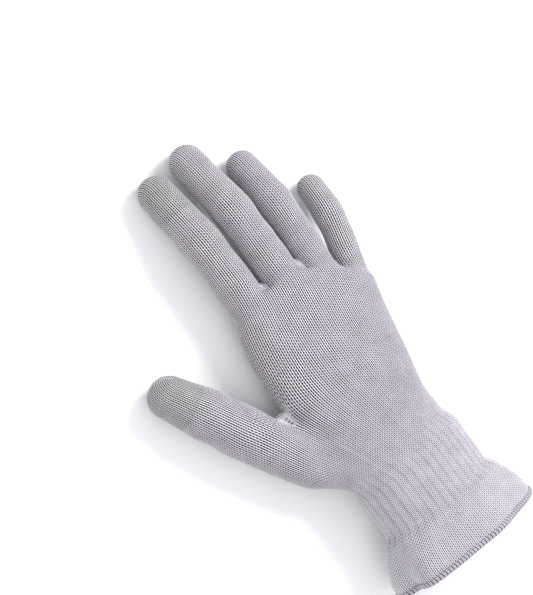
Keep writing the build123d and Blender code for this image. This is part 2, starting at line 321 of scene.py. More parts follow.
def build_lattice():
    """Vertex numbers of each zone's rows and the relaxed places of the vertices."""
    count = 0

    def new(n):
        nonlocal count
        count += n
        return np.arange(count - n, count)

    heel = np.stack([new(WALES) for _ in range(ROWS_HEEL + 1)])
    side = new(SIDE - 1)                        # crotch between the thumb and the hand
    palm = [np.concatenate([heel[-1][:HAND_WALES + 1], side])]
    palm += [new(HAND_WALES + SIDE) for _ in range(ROWS_PALM)]
    palm = np.stack(palm)
    webs = {pair: new(SIDE - 1) for pair in zip(FINGERS, FINGERS[1:])}
    right = HAND_WALES - LITTLE_LEFT
    top, web = palm[-1], webs["ring", "little"]
    fore = [np.concatenate([top[:LITTLE_LEFT + 1], web, top[right:]])]
    fore += [new(len(fore[0])) for _ in range(ROWS_FORE)]
    fore = np.stack(fore)
    zones = {"thumb": np.concatenate([heel[-1][HAND_WALES:], heel[-1][:1], side[::-1]]),
             "little": np.concatenate([top[LITTLE_LEFT:right + 1], web[::-1]])}
    top, left, closing = fore[-1], 0, fore[-1][1 - SIDE:]
    for name, other in zip(FINGERS, FINGERS[1:]):
        n, right = DORSAL[name], len(top) - SIDE - left
        web = webs[name, other] if other != "little" else top[left + n + 1:left + n + SIDE]
        zones[name] = np.concatenate([top[left:left + n + 1], web, top[right - n:right + 1],
                                      closing])
        left, closing = left + n, web[::-1]
    for name in DIGITS:
        rings = [new(ring_size(name)) for _ in range(ROWS_ROOT[name])]
        zones[name] = np.stack([zones[name]] + rings)
    zones["heel"], zones["palm"], zones["fore"] = heel, palm, fore

    place = np.zeros((count, 3))
    # first guess, zone by zone
    place[heel[0]] = oval_ring(WRIST_Y, *palm_row(WRIST_Y), np.arange(WALES))
    for name in DIGITS:
        k = np.arange(ring_size(name))
        for j, ids in enumerate(zones[name]):
            s = np.full(len(k), COURSE * (j - ROWS_ROOT[name]))
            place[ids] = ring_points(name, s, k)[0]
    split_y = SPINES["thumb"].knuckle[1] + 2.0
    x, z, a, c = palm_row(split_y)
    angle = np.arange(HAND_WALES + 1) / HAND_WALES
    angle = np.radians(THUMB_GAP / 2 - 90 + (360 - THUMB_GAP) * angle)
    split = np.stack([x + a * np.sin(angle), np.full(len(angle), split_y),
                      z + c * np.cos(angle)], -1)
    place[heel[-1][:HAND_WALES + 1]] = split
    share = np.arange(1, SIDE)[:, None] / SIDE
    place[side] = split[-1] + (split[0] - split[-1]) * share
    rest = np.setdiff1d(palm[-1], zones["little"][0])
    above = {low: high for low, high in zip(fore[0], fore[-1])}
    below = {high: low for low, high in zip(palm[0], palm[-1])}
    upward = ROWS_PALM / (ROWS_PALM + ROWS_FORE)
    for number in rest:
        place[number] = (1 - upward) * place[below[number]] + upward * place[above[number]]
    web = webs["ring", "little"]
    start, end = place[fore[0][LITTLE_LEFT]], place[fore[0][LITTLE_LEFT + SIDE]]
    place[web] = start + (end - start) * share
    for grid in (heel, palm, fore):
        for j in range(1, len(grid) - 1):
            t = j / (len(grid) - 1)
            place[grid[j]] = (1 - t) * place[grid[0]] + t * place[grid[-1]]

    edges = []
    for ids in zones.values():
        edges.append(np.stack([ids, np.roll(ids, -1, 1)], -1).reshape(-1, 2))
        edges.append(np.stack([ids[:-1], ids[1:]], -1).reshape(-1, 2))
    edges = np.unique(np.sort(np.concatenate(edges), 1), axis=0)
    fixed = np.zeros(count, bool)
    fixed[heel[0]] = True
    for name in DIGITS:
        fixed[zones[name][-1]] = True
    ends = np.concatenate([edges[:, 0], edges[:, 1]])
    others = np.concatenate([edges[:, 1], edges[:, 0]])
    valence = np.bincount(ends, minlength=count)
    place = settle(place, 3)
    for _ in range(RELAX_TURNS):
        total = np.stack([np.bincount(ends, place[others, i], count) for i in range(3)], -1)
        moved = settle(place + RELAX_SHARE * (total / valence[:, None] - place))
        place = np.where(fixed[:, None], place, moved)
    return zones, settle(place, 2)


ZONES, PLACE = build_lattice()


def refine(grid):
    """A closed grid of stitch corners made finer: smooth along the wales, straight across."""
    before = np.concatenate([2 * grid[:1] - grid[1:2], grid[:-1]])
    after = np.concatenate([grid[1:], 2 * grid[-1:] - grid[-2:-1]])
    slope = (after - before) / 2
    rows = []
    for j in range(len(grid) - 1):
        for part in range(FINE_V):
            rows.append(hermite(part / FINE_V, grid[j], slope[j], grid[j + 1], slope[j + 1]))
    rows = np.stack(rows + [grid[-1]])
    following = np.roll(rows, -1, 1)
    parts = [rows + (following - rows) * (part / FINE_U) for part in range(FINE_U)]
    return np.stack(parts, 2).reshape(len(rows), -1, 3)


# -------------------- fine relief
def wobble(p, scale, seed):
    """Smooth unevenness between about -1 and 1, the same wherever pieces meet."""
    q = p / scale
    x, y, z = q[..., 0], q[..., 1], q[..., 2]
    return (np.sin(1.9 * x + 1.1 * y + seed) * np.cos(1.3 * z - 0.7 * x + 2 * seed)
            + np.sin(0.8 * x - 1.7 * y + 0.6 * z + 3 * seed) * np.cos(1.5 * y + 0.9 * z - seed)) / 1.6


def stitch_height(u, v):
    """Height of the yarn: each cell holds a V of two rounded legs, with a groove between wales."""
    a = 2 * np.abs(u - np.floor(u) - 0.5)
    leg = np.sqrt(np.maximum(1 - ((a - 0.5) / 0.5) ** 2, 0))
    turn = v - LEG_SLANT * a
    turn = turn - np.floor(turn)
    yarn = leg * (0.66 + 0.34 * np.sqrt(np.sin(math.pi * turn)))
    return RELIEF * (yarn - 0.5 * a ** 6)


def purl(u):
    """1 in the middle of the wale that sinks in a knit two, purl one rib."""
    along = np.mod(u, RIB_REPEAT) - (RIB_REPEAT - 0.5)
    return np.clip(np.cos(math.pi * along), 0, 1) * (np.abs(along) < 0.5)


def rib_fade(y):
    """How strongly the rib shows: full up to the wrist, then fading into the hand."""
    return 1 - smooth_step((y - WRIST_Y + 2) / RIB_FADE)


def raised(points, normals, u, v, rib=0.0):
    """Puts the stitches on a smooth surface; never lower than the floor."""
    sink = purl(u) * rib
    height = stitch_height(u, v) * (1 - 0.4 * sink) - RIB_DEPTH * sink + 0.1 * rib
    height = height + UNEVEN * wobble(points, 6.5, 0.6)
    out = points + height[..., None] * normals
    out[..., 2] = floor_soft(out[..., 2])
    return out, sink


def floor_soft(z):
    """Presses what would sink into the floor flat against it."""
    reach = 0.6
    lifted = z - FLOOR_CLEARANCE
    pressed = reach * np.exp(np.minimum(lifted / reach - 1, 0))
    return FLOOR_CLEARANCE + np.where(lifted > reach, lifted, pressed)


# -------------------- building a mesh
def loose_wales(grid):
    """1 where wales are pulled far apart, as in the web beside the thumb, else 0: there the material
    paints an even shade.
    """
    if grid.ndim < 3 or min(grid.shape[:2]) < 3:
        return np.zeros(grid.shape[:-1])
    width = np.linalg.norm(np.gradient(grid, axis=1), axis=-1)
    return smooth_step((width / np.median(width) - 1.4) / 0.4)


class Piece:
    """Gathers the faces of one closed mesh and its two UV maps."""

    def __init__(self, name):
        self.name = name
        self.points, self.sink, self.loose, self.faces, self.borders = [], [], [], [], []
        self.count = 0

    def add(self, grid, sink=0.0):
        """Adds a block of points, returns their numbers in the same shape."""
        shape = grid.shape[:-1]
        self.points.append(grid.reshape(-1, 3))
        self.sink.append(np.broadcast_to(sink, shape).reshape(-1))
        self.loose.append(loose_wales(grid).reshape(-1))
        size = int(np.prod(shape))
        self.count += size
        return np.arange(self.count - size, self.count).reshape(shape)

    def face(self, corners, knit, bake):
        sides = corners.shape[-1]
        knit, bake = knit.reshape(-1, sides, 2), bake.reshape(-1, sides, 2)
        self.faces.append((corners.reshape(-1, sides), knit, bake))

    def tube(self, ids, knit, bake, inward=False):
        """Quads of a closed grid; knit and bake hold one column more than the ids."""
        order = [(0, 0), (0, 1), (1, 1), (1, 0)]
        if inward:
            order = order[::-1]
        rows, columns = ids.shape
        wrapped = np.concatenate([ids, ids[:, :1]], 1)

        def corner(grid, j, k):
            return grid[j:rows - 1 + j, k:columns + k]

        self.face(np.stack([corner(wrapped, j, k) for j, k in order], -1),
                  np.stack([corner(knit, j, k) for j, k in order], -2),
                  np.stack([corner(bake, j, k) for j, k in order], -2))

    def rim(self, fine, coarse, knit, bake_v, last=False):
        """Joins a fine edge to a coarse one: knit and bake rows have one more entry than the edge."""
        self.borders += [fine, coarse]
        many, few = len(fine), len(coarse)
        per = many // few
        f = np.concatenate([fine, fine[:1]])
        g = np.concatenate([coarse, coarse[:1]])
        i = np.arange(many)
        cell, part = i // per, i % per
        pivot = cell + (part >= per / 2)
        fans = np.stack([f[i + 1], f[i], g[pivot]], -1)
        fan_u = np.stack([i + 1, i, pivot * per], -1)
        c = np.arange(few)
        middle = c * per + per // 2
        bases = np.stack([g[c], g[c + 1], f[middle]], -1)
        base_u = np.stack([c * per, (c + 1) * per, middle], -1)
        for corners, steps, inner in ((fans, fan_u, [0, 0, 1]), (bases, base_u, [1, 1, 0])):
            height = np.broadcast_to(np.array(bake_v)[inner], steps.shape)
            bake = np.stack([steps / many, height], -1)
            chosen = knit[steps]
            if last:
                corners, chosen, bake = corners[:, ::-1], chosen[:, ::-1], bake[:, ::-1]
            self.face(corners, chosen, bake)

    def cap(self, ring, pole, knit_ring, knit_pole, bake_ring, bake_pole, inward=False):
        """Triangles from the last ring to the pole of a dome."""
        following = np.roll(ring, -1)
        corners = np.stack([ring, following, np.full(len(ring), pole)], -1)
        knit = np.stack([knit_ring[:-1], knit_ring[1:], knit_pole], 1)
        bake = np.stack([bake_ring[:-1], bake_ring[1:], bake_pole], 1)
        if inward:
            corners, knit, bake = corners[:, ::-1], knit[:, ::-1], bake[:, ::-1]
        self.face(corners, knit, bake)

    def edge_creases(self, mesh, border):
        """Sharp edges along both ends of the outer face, so that the rims don't tint it."""
        pairs = np.zeros(len(mesh.edges) * 2, np.int32)
        mesh.edges.foreach_get("vertices", pairs)
        pairs = pairs.reshape(-1, 2)
        sharp = mesh.attributes.new("sharp_edge", "BOOLEAN", "EDGE")
        sharp.data.foreach_set("value", border[pairs].all(1))

    def mesh(self):
        """The Blender mesh with what the materials read: UV maps and point attributes."""
        rest = np.concatenate(self.points)
        points = (rest + BASE) / 1000
        mesh = bpy.data.meshes.new(self.name)
        mesh.vertices.add(len(points))
        mesh.vertices.foreach_set("co", points.astype(np.float32).ravel())
        sides = np.concatenate([np.full(len(c), c.shape[1]) for c, _, _ in self.faces])
        mesh.loops.add(int(sides.sum()))
        corners = np.concatenate([c.ravel() for c, _, _ in self.faces])
        mesh.loops.foreach_set("vertex_index", corners.astype(np.int32))
        mesh.polygons.add(len(sides))
        starts = np.concatenate([[0], np.cumsum(sides)[:-1]])
        mesh.polygons.foreach_set("loop_start", starts.astype(np.int32))
        for name, part in (("knit", 1), ("OFBake", 2)):
            layer = mesh.uv_layers.new(name=name)
            values = np.concatenate([face[part].reshape(-1, 2) for face in self.faces])
            layer.uv.foreach_set("vector", values.astype(np.float32).ravel())
        mesh.update(calc_edges=True)
        mesh.polygons.foreach_set("use_smooth", np.ones(len(sides), bool))
        # how strong the painted shade in the knit's holes is: less in the cuff, hardly any where wales are
        # pulled apart
        gap_shade = (0.7 + 0.3 * smooth_step((rest[:, 1] - 10) / 36)) * (1 - 0.9 * np.concatenate(self.loose))
        for name, kind, field, values in (("rest_mm", "FLOAT_VECTOR", "vector", rest),
                                          ("gap_shade", "FLOAT", "value", gap_shade),
                                          ("sink", "FLOAT", "value", np.concatenate(self.sink))):
            layer = mesh.attributes.new(name, kind, "POINT")
            layer.data.foreach_set(field, values.astype(np.float32).ravel())
        border = np.zeros(len(points), bool)
        for ids in self.borders:
            border[ids] = True
        self.edge_creases(mesh, border)
        mesh.validate()
        return mesh

    def place(self, material, slot, nodes, body=None, between=None):
        """Makes the object, its finish and what it rides on; between is not used."""
        made = bpy.data.objects.new(self.name, self.mesh())
        bpy.context.scene.collection.objects.link(made)
        made.data.materials.append(material)
        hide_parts(*nodes)
        if body is not None:
            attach(made, body)
        else:
            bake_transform(made)


def bake_grid(rows, span, columns, low, high):
    """Unique texture places for a closed grid, one column more than it has points."""
    u, v = np.meshgrid(np.arange(columns + 1) / columns, low + (high - low) * np.arange(rows) / span)
    return np.stack([u, v], -1)


def shell(name, outer, sink, inner, knit, poles=None):
    """A piece of fabric: fine outer face, coarse inner face, both edges closed.

    outer (rows, columns, 3) and knit (rows, columns + 1, 2) are fine and inner is coarse.
    poles holds the outer and inner end of a dome and its stitch coordinates."""
    piece = Piece(name)
    (rows, columns), (in_rows, in_columns) = outer.shape[:2], inner.shape[:2]
    open_end = 1 if poles is None else 0
    out_bake = bake_grid(rows, rows - open_end, columns, 0.0, 0.8)
    in_bake = bake_grid(in_rows, in_rows - open_end, in_columns, 0.84, 0.98)
    picked = knit[::(rows - 1) // (in_rows - 1), ::columns // in_columns]
    out, inside = piece.add(outer, sink), piece.add(inner)
    piece.tube(out, knit, out_bake)
    piece.tube(inside, picked, in_bake, inward=True)
    piece.rim(out[0], inside[0], knit[0], (0.985, 0.99))
    if poles is None:
        piece.rim(out[-1], inside[-1], knit[-1], (0.992, 0.998), last=True)
        return piece
    outer_pole, inner_pole, pole_knit = poles
    for ids, pole, grid, places, high, inward in ((out, outer_pole, knit, out_bake, 0.8, False),
                                                  (inside, inner_pole, picked, in_bake, 0.98, True)):
        steps = ids.shape[1]
        tip = piece.add(pole.reshape(1, 3))[0]
        middle = np.stack([(np.arange(steps) + 0.5) / steps, np.full(steps, high)], -1)
        centre = np.broadcast_to(pole_knit, (steps, 2))
        piece.cap(ids[-1], tip, grid[-1], centre, places[-1], middle, inward)
    return piece


def knit_grid(rows, columns, first_row):
    """Stitch coordinates of a fine grid whose first row is that course."""
    u, v = np.meshgrid(np.arange(columns + 1) / FINE_U, first_row + np.arange(rows) / FINE_V)
    return np.stack([u, v], -1)


def inside_of(points, normals):
    inner = points - FABRIC * normals
    inner[..., 2] = np.maximum(inner[..., 2], FLOOR_CLEARANCE + 0.7 * FABRIC)
    return inner


# -------------------- materials
def link(tree, value, socket):
    if isinstance(value, bpy.types.NodeSocket):
        tree.links.new(value, socket)
    elif value is not None:
        socket.default_value = value


def math_node(tree, operation, *inputs):
    node = tree.nodes.new("ShaderNodeMath")
    node.operation = operation
    for value, socket in zip(inputs, node.inputs):
        link(tree, value, socket)
    return node.outputs[0]


def ramp(tree, value, low, high):
    """Smooth 0 to 1 as a value goes from low to high."""
    node = tree.nodes.new("ShaderNodeMapRange")
    node.interpolation_type = "SMOOTHSTEP"
    for socket, given in zip(node.inputs[:3], (value, low, high)):
        link(tree, given, socket)
    return node.outputs[0]


def mix(tree, share, first, second):
    node = tree.nodes.new("ShaderNodeMix")
    node.data_type = "RGBA"
    link(tree, share, node.inputs[0])
    link(tree, first, node.inputs[6])
    link(tree, second, node.inputs[7])
    return node.outputs[2]


def noise(tree, vector, scale, detail=2.0):
    node = tree.nodes.new("ShaderNodeTexNoise")
    link(tree, vector, node.inputs["Vector"])
    node.inputs["Scale"].default_value = scale
    node.inputs["Detail"].default_value = detail
    return node.outputs[0]


def attribute(tree, name, output):
    node = tree.nodes.new("ShaderNodeAttribute")
    node.attribute_name = name
    return node.outputs[output]


def from_srgb(*levels):
    linear = [(v / 255 / 12.92) if v < 10.3 else ((v / 255 + 0.055) / 1.055) ** 2.4 for v in levels]
    return (*linear, 1.0)


def knit_material(name, colour, shade, gap_shade_colour, gap_shade_strength, roughness, sheen):
    """Knitted yarn: painted shade in the holes between wales, V legs, twist and a melange of two yarns."""
    material = bpy.data.materials.new(name)
    material.use_nodes = True
    tree = material.node_tree
    shader = tree.nodes["Principled BSDF"]

    def calc(operation, *inputs):
        return math_node(tree, operation, *inputs)

    uv = tree.nodes.new("ShaderNodeUVMap")
    uv.uv_map = "knit"
    parts = tree.nodes.new("ShaderNodeSeparateXYZ")
    tree.links.new(uv.outputs[0], parts.inputs[0])
    u, v = parts.outputs[0], parts.outputs[1]
    rest = attribute(tree, "rest_mm", "Vector")
    sink = attribute(tree, "sink", "Fac")
    # a goes from 0 in the middle of a wale to 1 at its edges, turn from 0 to 1 along each leg
    a = calc("MULTIPLY", calc("ABSOLUTE", calc("SUBTRACT", calc("FRACT", u), 0.5)), 2.0)
    climb = calc("SUBTRACT", v, calc("MULTIPLY", a, LEG_SLANT))
    turn = calc("FRACT", climb)
    wave = calc("COSINE", calc("MULTIPLY", calc("SUBTRACT", v, LEG_SLANT), 2 * math.pi))
    # painted shade between wales, between the stitches of a wale, between two legs and in the rib's sunk
    # wales; on the hem's lower side the same dots stand for its dark overlock stitches as well as painted
    # shade
    border = ramp(tree, a, 0.58, 0.8)
    hole = calc("MULTIPLY_ADD", wave, 0.34, 0.86)
    between = ramp(tree, calc("ABSOLUTE", calc("SUBTRACT", turn, 0.5)), 0.32, 0.48)
    centre = ramp(tree, a, 0.4, 0.18)
    open_centre = calc("MULTIPLY_ADD", wave, -0.34, 0.8)
    dots = calc("MULTIPLY_ADD", wave, 0.4, 0.3)
    dark = calc("MULTIPLY", border, hole)
    for share, most in ((between, 0.4), (centre, open_centre), (sink, dots)):
        dark = calc("MAXIMUM", dark, calc("MULTIPLY", share, most))
    # slow unevenness, weaker painted shade in the cuff, and an even painted shade where wales are pulled
    # apart, as in the thumb's crotch
    gap_shade = attribute(tree, "gap_shade", "Fac")
    strength = calc("MULTIPLY_ADD", noise(tree, rest, 0.16, 3.0), 0.7, gap_shade_strength - 0.25)
    dark = calc("MULTIPLY", dark, calc("MULTIPLY", strength, gap_shade))
    # an even painted shade where the wales are pulled apart
    loose_wale_shade = calc("MAXIMUM", calc("MULTIPLY_ADD", gap_shade, -0.6, 0.4), 0.0)
    dark = calc("ADD", dark, loose_wale_shade)
    dark.node.use_clamp = True
    melange = ramp(tree, noise(tree, rest, 1.7, 2.0), 0.35, 0.7)
    body = mix(tree, melange, from_srgb(*colour), from_srgb(*shade))
    # the yarn's colour darkened towards the painted shade colour wherever dark is set
    tree.links.new(mix(tree, dark, body, from_srgb(*gap_shade_colour)), shader.inputs["Base Color"])
    shader.inputs["Roughness"].default_value = roughness
    shader.inputs["Sheen Weight"].default_value = sheen
    shader.inputs["Sheen Roughness"].default_value = 0.4
    shader.inputs["Specular IOR Level"].default_value = 0.25
    # plies of the yarn and its loose hairs
    plies = calc("SINE", calc("MULTIPLY_ADD", climb, 6 * math.pi, calc("MULTIPLY", a, 5 * math.pi)))
    hair = noise(tree, rest, 5.0, 3.0)
    relief = calc("MULTIPLY_ADD", plies, 0.2, calc("MULTIPLY", hair, 0.8))
    relief = calc("SUBTRACT", relief, calc("MULTIPLY", dark, 1.6))
    bump = tree.nodes.new("ShaderNodeBump")
    bump.inputs["Strength"].default_value = 0.35
    bump.inputs["Distance"].default_value = 0.00018
    tree.links.new(relief, bump.inputs["Height"])
    tree.links.new(bump.outputs[0], shader.inputs["Normal"])
    return material


def plain_material(name, colour, roughness, sheen=0.0):
    material = bpy.data.materials.new(name)
    material.use_nodes = True
    shader = material.node_tree.nodes["Principled BSDF"]
    shader.inputs["Base Color"].default_value = from_srgb(*colour)
    shader.inputs["Roughness"].default_value = roughness
    shader.inputs["Sheen Weight"].default_value = sheen
    return material


# the two yarns of the melange, the colour of the painted shade in the knit's holes, how strong that
# painted shade is, roughness and sheen
KNIT = knit_material("lavender_knit", (237, 233, 239), (222, 216, 226), (26, 22, 30),
                     1.2, 0.85, 0.15)
TOUCH_KNIT = knit_material("conductive_knit", (228, 228, 228), (206, 206, 207), (16, 15, 18),
                           1.25, 0.7, 0.1)
HEM_KNIT = knit_material("hem_knit", (202, 196, 205), (182, 175, 187), (34, 30, 38),
                         1.1, 0.85, 0.15)
THREAD = plain_material("seam_thread", (184, 178, 188), 0.8, 0.2)
# the seam thread darkened with painted shade where it sits in the crotches
SHADED_CROTCH_THREAD = plain_material("crotch_thread", (146, 138, 151), 0.85, 0.1)
RUBBER = plain_material("elastic_thread", (214, 208, 214), 0.6)

# -------------------- hand
def hand_piece(name, zone, first, last, course, rib=True):
    """Rows first to last of a zone as one piece of the hand."""
    coarse = PLACE[ZONES[zone][first:last + 1]]
    smooth = settle(refine(PLACE[ZONES[zone]])[first * FINE_V:last * FINE_V + 1], 2)
    normals = unit(gradient(smooth)[1])
    rows, columns = smooth.shape[:2]
    knit = knit_grid(rows, columns, course + first)
    fade = rib_fade(smooth[..., 1]) if rib else 0.0
    outer, sink = raised(smooth, normals, knit[:, :-1, 0], knit[:, :-1, 1], fade)
    inner = inside_of(coarse, unit(gradient(coarse)[1]))
    shell(name, outer, sink, inner, knit).place(KNIT, "knit_yarn", ["hand_tube"], body="hand")


HEEL_SPLIT = ROWS_HEEL // 2
hand_piece("hand_heel_knit", "heel", 0, HEEL_SPLIT, 0)
hand_piece("hand_middle_knit", "heel", HEEL_SPLIT, ROWS_HEEL, 0)
hand_piece("hand_palm_knit", "palm", 0, ROWS_PALM, ROWS_HEEL, rib=False)
hand_piece("hand_knuckle_knit", "fore", 0, ROWS_FORE, ROWS_HEEL + ROWS_PALM, rib=False)


# -------------------- digits
# the thumb's tip seam is four wales round, about as far as its hinge is rolled
TIP_ROLL = {"thumb": -4 * 2 * math.pi / ring_size("thumb")}


class DigitKnit:
    """The knitted surface of one digit from its crotch to its tip."""

    def __init__(self, name):
        self.name = name
        self.spine = SPINES[name]
        self.wales = ring_size(name)
        self.rows = round(self.spine.length / COURSE)
        self.pitch = self.spine.length / self.rows
        self.root_rows = ROWS_ROOT[name]
        rows_before = {"thumb": 0, "little": ROWS_PALM}.get(name, ROWS_PALM + ROWS_FORE)
        self.first_course = ROWS_HEEL + rows_before
        self.roll = TIP_ROLL.get(name, 0.0)
        ids = ZONES[name]
        root = settle(refine(PLACE[ids])[:-1], 2)
        k = np.arange(self.wales * FINE_U) / FINE_U
        s = np.arange(self.rows * FINE_V + 1)[:, None] / FINE_V * self.pitch
        tube, out, _ = ring_points(name, s + 0 * k, k + 0 * s)
        self.smooth = np.concatenate([root, tube])
        self.normals = np.concatenate([unit(gradient(root)[1]), out])
        rows, columns = self.smooth.shape[:2]
        self.knit = knit_grid(rows, columns, self.first_course)
        u, v = self.knit[:, :-1, 0], self.knit[:, :-1, 1]
        self.outer = raised(self.smooth, self.normals, u, v)[0]
        coarse = PLACE[ids][:-1]
        k, s = np.arange(self.wales), np.arange(self.rows + 1)[:, None] * self.pitch
        tube, out, _ = ring_points(name, s + 0 * k, k + 0 * s)
        normals = np.concatenate([unit(gradient(coarse)[1]), out])
        self.inner = inside_of(np.concatenate([coarse, tube]), normals)

    def row(self, s):
        """Course row nearest to a distance from the knuckle, counted from the crotch."""
        return self.root_rows + round(s / self.pitch)

    def part(self, name, first, last, dome=False):
        """Rows first to last, with the rounded end if asked."""
        fine = slice(first * FINE_V, last * FINE_V + 1)
        outer, knit, inner = self.outer[fine], self.knit[fine], self.inner[first:last + 1]
        if not dome:
            return shell(name, outer, 0.0, inner, knit)
        steps = max(4, round(self.spine.r2 * math.pi / 2 / COURSE))
        cap, cap_knit, pole, pole_knit = self.dome(steps * FINE_V, FINE_U, self.spine.r2, True)
        in_cap, _, in_pole, _ = self.dome(steps, 1, self.spine.r2 - FABRIC, False)
        return shell(name, np.concatenate([outer, cap]), 0.0, np.concatenate([inner, in_cap]),
                     np.concatenate([knit, cap_knit]), (pole, in_pole, pole_knit))

    def dome(self, rows, per_wale, radius, stitched):
        """The rounded end: the wales run on over it from both faces and meet along its sides."""
        centre, tangent, across, normal = self.spine.at(np.array(self.spine.length))
        columns = self.wales * per_wale
        k = np.arange(columns + 1) / per_wale
        angle = ring_angle(self.name, k)
        alpha = np.arange(1, rows)[:, None] / rows * math.pi / 2
        outward = np.cos(angle)[:, None] * normal + np.sin(angle)[:, None] * across
        out = np.cos(alpha)[..., None] * outward + np.sin(alpha)[..., None] * tangent
        turned = np.mod(angle - self.roll + math.pi / 2, 2 * math.pi) - math.pi / 2
        x = np.cos(alpha) * np.sin(turned)
        side = np.arcsin(np.clip(x, -1, 1))
        side = np.where(turned > math.pi / 2, math.pi - side, side)
        ahead = np.arctan2(np.sin(alpha), np.abs(np.cos(alpha) * np.cos(turned)))
        zero = (self.roll - ring_angle(self.name, np.array(0.0))) * self.wales / (2 * math.pi)
        top = self.first_course + self.root_rows + self.rows
        u = zero + side * self.wales / (2 * math.pi)
        v = top + self.spine.r2 * np.sqrt(1 - x * x) * ahead / COURSE
        knit = np.stack([u, v], -1)
        points = centre + radius * out
        pole = centre + radius * tangent
        pole_knit = np.array([zero, top + self.spine.r2 * math.pi / 2 / COURSE])
        if stitched:
            points = raised(points, out, u, v)[0]
        points[..., 2] = np.maximum(points[..., 2], FLOOR_CLEARANCE * 0.5)
        return points[:, :-1], knit, pole, pole_knit


def digit_pieces(name):
    """A digit's root, its bending end and, where it has one, its conductive tip."""
    knit = DigitKnit(name)
    spine = knit.spine
    before, after, around = BEND[name]
    border = knit.row((after + spine.lower - around) / 2)
    end = knit.root_rows + knit.rows
    hand, lower, upper = "hand", name + "_lower", name + "_upper"

    def point(s):
        return spine.at(np.array(float(s)))[0]

    direction = unit(point(after) - point(0))
    crotch = PLACE[ZONES[name][0]] - point(0)
    before = min(before, -(crotch @ direction).max())
    root = knit.part(name + "_root_knit", 0, border)
    root.place(KNIT, "knit_yarn", [name + "_knuckle_sleeve", name + "_lower_tube"],
               between=(hand, lower, point(0) - before * direction, point(0) + after * direction))
    bend = (lower, upper, point(spine.lower - around), point(spine.lower + around))
    nodes = [name + "_joint_sleeve", name + "_upper_tube"]
    if name in TOUCH:
        cap_row = knit.row(spine.length + spine.r2 - TOUCH_LENGTH[name])
        middle = knit.part(name + "_end_knit", border, cap_row)
        middle.place(KNIT, "knit_yarn", nodes, between=bend)
        tip = knit.part(name + "_touch_knit", cap_row, end, dome=True)
        tip.place(TOUCH_KNIT, "touch_yarn", [name + "_touch_tip"], body=upper)
    else:
        whole = knit.part(name + "_end_knit", border, end, dome=True)
        whole.place(KNIT, "knit_yarn", nodes, between=bend)


for name in DIGITS:
    digit_pieces(name)


# -------------------- wrist and cuff
RIB_END, RUFFLE_END = -4.0, -28.5              # y in glove coordinates
RUFFLE = (40.0, 24.5, -6.2, 25.6)              # half width, half height, centre x and z at the hem
WRIST = (30.2, 19.5, WRIST_X, 22.0)
RIB_ROWS, RUFFLE_ROWS = 16, 19
# soft folds of the ruffle: angle from the top towards the little finger, half width, height
FOLDS = ((-75, 10, -4.2), (-101, 15, 1.6), (-52, 14, 1.4), (84, 17, 0.5), (47, 13, -1.0),
         (12, 16, 0.9), (-22, 14, -0.9), (130, 20, -1.2), (165, 16, 1.2), (-150, 18, -1.2))


def numeric_normals(grid):
    """Outward normals of a closed grid."""
    across = np.roll(grid, -1, 1) - np.roll(grid, 1, 1)
    along = np.gradient(grid, axis=0)
    return unit(np.cross(across, along))


def ruffle_ring(y, k):
    """The flared cuff at y, folds included, at wale lines k."""
    t = np.clip((RIB_END - y) / (RIB_END - RUFFLE_END), 0, 1.2)
    flare = math.sin(min(t, 1.0) * math.pi / 2) * smooth_step(t * 5)
    flare = flare + 0.06 * max(t - 1, 0) - 0.1 * smooth_step((t - 0.8) / 0.4)
    a, c, x, z = (w + flare * (r - w) for w, r in zip(WRIST, RUFFLE))
    ring = oval_ring(y, x, z, a, c, k)
    angle = np.mod(360 * (k - THUMB_MIDDLE) / WALES - 90 + 180, 360) - 180
    out = np.stack([(ring[:, 0] - x) / a ** 2, 0 * k, (ring[:, 2] - z) / c ** 2], -1)
    push = 0.35 * t ** 2 * np.cos(np.radians(9 * angle) + 4 * t)
    for middle, width, height in FOLDS:
        off = np.mod(angle - middle + 180, 360) - 180
        push = push + height * np.exp(-(off / width) ** 2) * min(t, 1.0) ** 1.3
    ring = ring + push[:, None] * unit(out)
    ring[:, 2] = floor_soft(ring[:, 2])
    return ring


def cuff_piece(name, rows, low, high, ring_at, course, rib_at, nodes):
    """A band of the cuff from y low to high; ring_at gives its rings, rib_at the rib's strength."""
    columns = WALES * FINE_U
    count = rows * FINE_V
    heights = low + (high - low) * np.arange(count + 1) / count
    k = np.arange(columns) / FINE_U
    smooth = np.stack([ring_at(y, k) for y in heights])
    normals = numeric_normals(smooth)
    knit = knit_grid(count + 1, columns, course)
    rib = rib_at(heights)[:, None] + 0 * k
    outer, sink = raised(smooth, normals, knit[:, :-1, 0], knit[:, :-1, 1], rib)
    inner = inside_of(smooth[::FINE_V, ::FINE_U], normals[::FINE_V, ::FINE_U])
    shell(name, outer, sink, inner, knit).place(KNIT, "knit_yarn", nodes, body="hand")


cuff_piece("wrist_rib_knit", RIB_ROWS, RIB_END, WRIST_Y,
           lambda y, k: oval_ring(y, *palm_row(y), k), -RIB_ROWS, rib_fade, ["wrist_rib"])
cuff_piece("ruffle_knit", RUFFLE_ROWS, RUFFLE_END, RIB_END, ruffle_ring, -RIB_ROWS - RUFFLE_ROWS,
           lambda y: smooth_step((y - RIB_END + 11) / 11), ["ruffle_cuff"])


